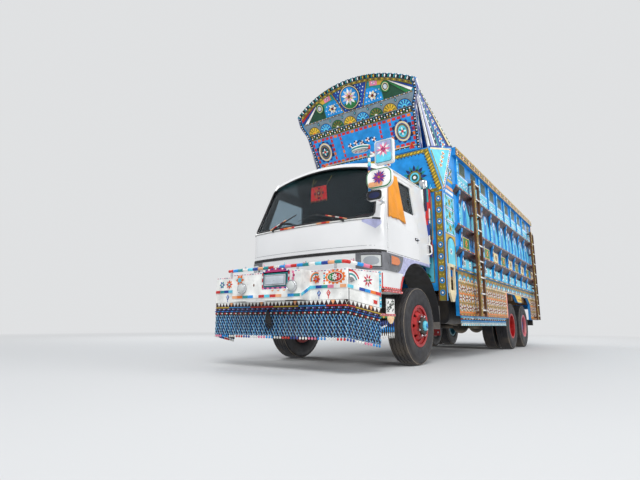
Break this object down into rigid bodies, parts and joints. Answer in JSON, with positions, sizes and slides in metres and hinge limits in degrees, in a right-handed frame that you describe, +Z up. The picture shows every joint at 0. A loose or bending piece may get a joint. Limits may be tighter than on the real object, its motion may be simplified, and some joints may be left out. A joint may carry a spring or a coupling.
{
  "type": "decorated truck",
  "caption": "High-sided cargo lorry with a tilted crown over its cab, painted ornament, chain fringes, steered front wheels, twin rear wheels, opening doors and a drop tailgate",
  "frame": {"origin": "on the ground, under the middle of the whole length and width", "axes": "+X is the lorry's left, +Y its rear, +Z up"},
  "size_m": [2.875, 10.395, 4.6471],
  "materials": {
    "chassis_paint": "satin black chassis paint with road dust",
    "axle_paint": "dark cast metal",
    "rim_paint": "gloss red paint",
    "tyre": "black rubber, dusty sidewalls",
    "engine_metal": "oily cast metal",
    "cab_paint": "gloss white with coloured bands",
    "glass": "tinted automotive glass",
    "seat_cover": "dark red woven cover",
    "dash_plastic": "matt grained plastic",
    "cloth": "orange woven cloth",
    "lamp_lens": "clear moulded lens",
    "bumper_paint": "gloss white with painted ornaments",
    "chrome": "polished plating",
    "chain_steel": "small bright steel links",
    "mirror_frame": "white and blue painted frame",
    "body_paint": "gloss blue with painted ornaments in many colours",
    "crown_paint": "gloss blue with painted ornaments in many colours",
    "timber": "worn deck planks",
    "guard_rubber": "black moulded sheet"
  },
  "bodies": {
    "truck": {"chassis_frame": "chassis_paint", "front_axle": "axle_paint", "rear_axles": "axle_paint", "springs": "chassis_paint", "engine": "engine_metal", "driveline": "engine_metal", "fuel_tank": "chassis_paint", "battery_box": "chassis_paint", "radiator": "chassis_paint", "fog_lamps": "lamp_lens", "air_intake": "chassis_paint", "front_bumper": "bumper_paint", "bumper_pipe": "chrome", "bumper_fringe": "chain_steel", "cab_steps": "bumper_paint", "front_mudguards": "guard_rubber", "cargo_floor": "timber", "left_side_wall": "body_paint", "right_side_wall": "body_paint", "headboard": "body_paint", "crown_front": "crown_paint", "crown_sides": "crown_paint", "crown_deck": "crown_paint", "side_fringes": "chain_steel", "ladders": "body_paint", "rear_frame": "body_paint", "rear_bumper": "chassis_paint", "tail_step": "body_paint", "exhaust": "chassis_paint", "side_racks": "body_paint", "top_bars": "body_paint"},
    "cab": {"cab_shell": "cab_paint", "windscreen": "glass", "rear_window": "glass", "seats": "seat_cover", "dashboard": "dash_plastic", "headlamps": "lamp_lens", "left_mirrors": "mirror_frame"},
    "left_knuckle": {"left_knuckle": "axle_paint"},
    "right_knuckle": {"right_knuckle": "axle_paint"},
    "left_front_wheel": {"left_front_rim": "rim_paint", "left_front_tyre": "tyre"},
    "right_front_wheel": {"right_front_rim": "rim_paint", "right_front_tyre": "tyre"},
    "left_middle_wheels": {"left_middle_rims": "rim_paint", "left_middle_tyres": "tyre"},
    "right_middle_wheels": {"right_middle_rims": "rim_paint", "right_middle_tyres": "tyre"},
    "left_rear_wheels": {"left_rear_rims": "rim_paint", "left_rear_tyres": "tyre"},
    "right_rear_wheels": {"right_rear_rims": "rim_paint", "right_rear_tyres": "tyre"},
    "left_cab_door": {"left_door": "cab_paint", "left_door_glass": "glass", "window_cloth": "cloth"},
    "right_cab_door": {"right_door": "cab_paint", "right_door_glass": "glass"},
    "tail_gate": {"tailgate": "body_paint"}
  },
  "joints": [
    {"name": "cab_tilt", "type": "hinge", "parent": "truck", "child": "cab", "pos_m": [0, -4.2925, 1.11], "axis": [1, 0, 0], "range_deg": [0, 45]},
    {"name": "left_steer", "type": "hinge", "parent": "truck", "child": "left_knuckle", "pos_m": [0.86, -3.2425, 0.525], "axis": [0, 0, 1], "range_deg": [-32, 32]},
    {"name": "left_front_spin", "type": "hinge", "parent": "left_knuckle", "child": "left_front_wheel", "pos_m": [1.02, -3.2425, 0.525], "axis": [1, 0, 0], "continuous": true},
    {"name": "left_middle_spin", "type": "hinge", "parent": "truck", "child": "left_middle_wheels", "pos_m": [0.93, 1.9995, 0.525], "axis": [1, 0, 0], "continuous": true},
    {"name": "left_rear_spin", "type": "hinge", "parent": "truck", "child": "left_rear_wheels", "pos_m": [0.93, 3.3035, 0.525], "axis": [1, 0, 0], "continuous": true},
    {"name": "left_door_hinge", "type": "hinge", "parent": "cab", "child": "left_cab_door", "pos_m": [1.102, -4.0665, 2.02], "axis": [0, 0, -1], "range_deg": [0, 70]},
    {"name": "right_steer", "type": "hinge", "parent": "truck", "child": "right_knuckle", "pos_m": [-0.86, -3.2425, 0.525], "axis": [0, 0, 1], "range_deg": [-32, 32]},
    {"name": "right_front_spin", "type": "hinge", "parent": "right_knuckle", "child": "right_front_wheel", "pos_m": [-1.02, -3.2425, 0.525], "axis": [1, 0, 0], "continuous": true},
    {"name": "right_middle_spin", "type": "hinge", "parent": "truck", "child": "right_middle_wheels", "pos_m": [-0.93, 1.9995, 0.525], "axis": [1, 0, 0], "continuous": true},
    {"name": "right_rear_spin", "type": "hinge", "parent": "truck", "child": "right_rear_wheels", "pos_m": [-0.93, 3.3035, 0.525], "axis": [1, 0, 0], "continuous": true},
    {"name": "right_door_hinge", "type": "hinge", "parent": "cab", "child": "right_cab_door", "pos_m": [-1.102, -4.0665, 2.02], "axis": [0, 0, 1], "range_deg": [0, 70]},
    {"name": "tailgate_hinge", "type": "hinge", "parent": "truck", "child": "tail_gate", "pos_m": [0, 4.7975, 1.302], "axis": [-1, 0, 0], "range_deg": [0, 90]}
  ],
  "couplings": [
    {"joint": "right_steer", "follows": "left_steer", "ratio": 1}
  ]
}
